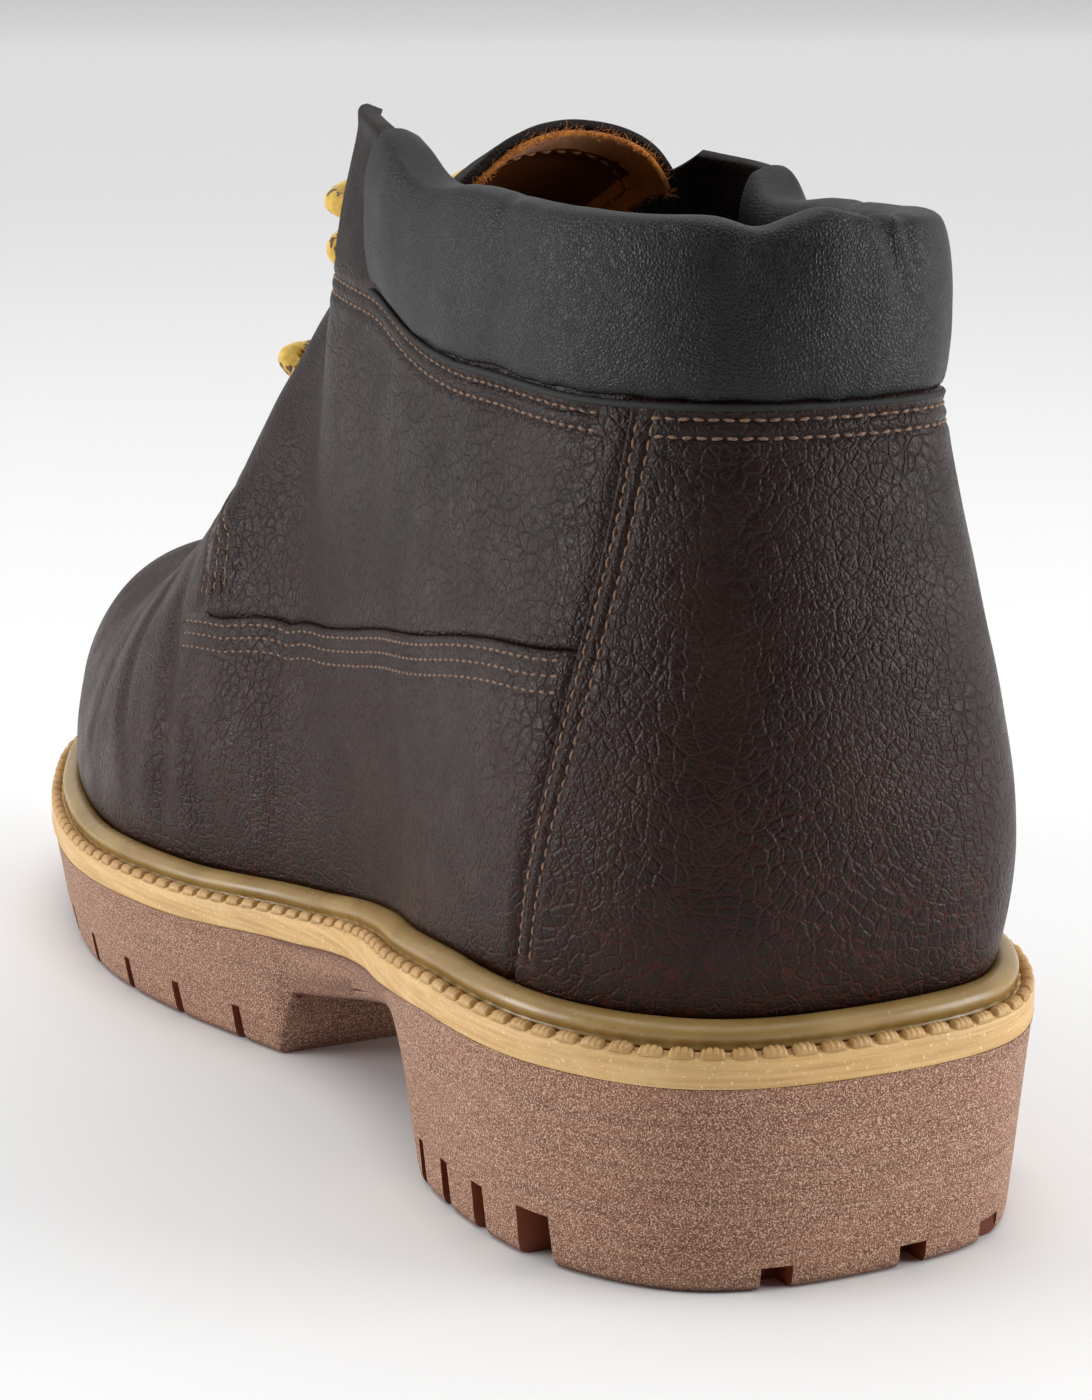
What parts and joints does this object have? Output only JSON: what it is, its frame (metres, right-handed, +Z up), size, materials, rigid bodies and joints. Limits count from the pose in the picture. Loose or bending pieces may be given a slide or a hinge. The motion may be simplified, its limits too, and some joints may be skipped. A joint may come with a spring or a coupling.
{
  "type": "safety work boot",
  "caption": "Lace-up ankle work boot with a steel toe cap, padded collar, welted rim, lugged sole, hinged tongue top and lift-out footbed.",
  "frame": {"origin": "middle of the sole's outline on the ground plane, without the free lace", "axes": "+Z up, -Y towards the toe, +Y towards the heel, +X towards the medial (inner) side of this right boot"},
  "size_m": [0.1176, 0.3085, 0.173],
  "materials": {
    "outsole": "buffed matt, reddish brown with pale speckles and fine horizontal streaks",
    "rim": "satin tan",
    "welt": "smooth translucent honey tan, moulded bumps at the edge",
    "filler": "cork and binder sheet",
    "steel": "plain pressed steel",
    "board": "fibre board",
    "edge_rubber": "matt",
    "stiffener": "thermoplastic sheet",
    "leather": "dark brown pebbled full grain, satin, tan stitching",
    "lining": "smooth pigskin",
    "collar": "charcoal synthetic leather, fine grain",
    "foam": "open foam",
    "tongue": "dark brown leather, raw orange edge",
    "suede": "orange brown suede, napped",
    "eyelet": "aged",
    "lace": "round braid, yellow with brown flecks",
    "aglet": "smooth",
    "footbed": "brushed knit"
  },
  "bodies": {
    "root": {"outsole": "outsole", "midsole": "rim", "welt": "welt", "filler": "filler", "shank": "steel", "insole_board": "board", "toe_cap": "steel", "toe_cap_edge": "edge_rubber", "heel_stiffener": "stiffener", "vamp": "leather", "quarter_medial": "leather", "quarter_lateral": "leather", "counter_cover": "leather", "eyestay_medial": "leather", "eyestay_lateral": "leather", "vamp_lining": "lining", "quarter_lining": "lining", "collar_cover": "collar", "collar_foam": "foam", "tongue_base": "tongue", "eyelets": "eyelet", "lace": "lace", "lace_knot": "lace", "lace_loop_side": "lace", "lace_loop_front": "lace", "lace_end_side": "lace", "lace_end_front": "lace", "aglet_side": "aglet", "aglet_front": "aglet"},
    "tongue_top": {"tongue_flap": "tongue", "tongue_lining": "suede"},
    "footbed": {"footbed_foam": "foam", "footbed_cloth": "footbed"}
  },
  "joints": [
    {"name": "tongue_tilt", "type": "hinge", "parent": "root", "child": "tongue_top", "pos_m": [0, 0.0115, 0.1585], "axis": [1, 0, 0], "range_deg": [0, 18]},
    {"name": "footbed_lift", "type": "hinge", "parent": "root", "child": "footbed", "pos_m": [0, -0.1395, 0.0345], "axis": [1, 0, 0], "range_deg": [0, 5]}
  ]
}
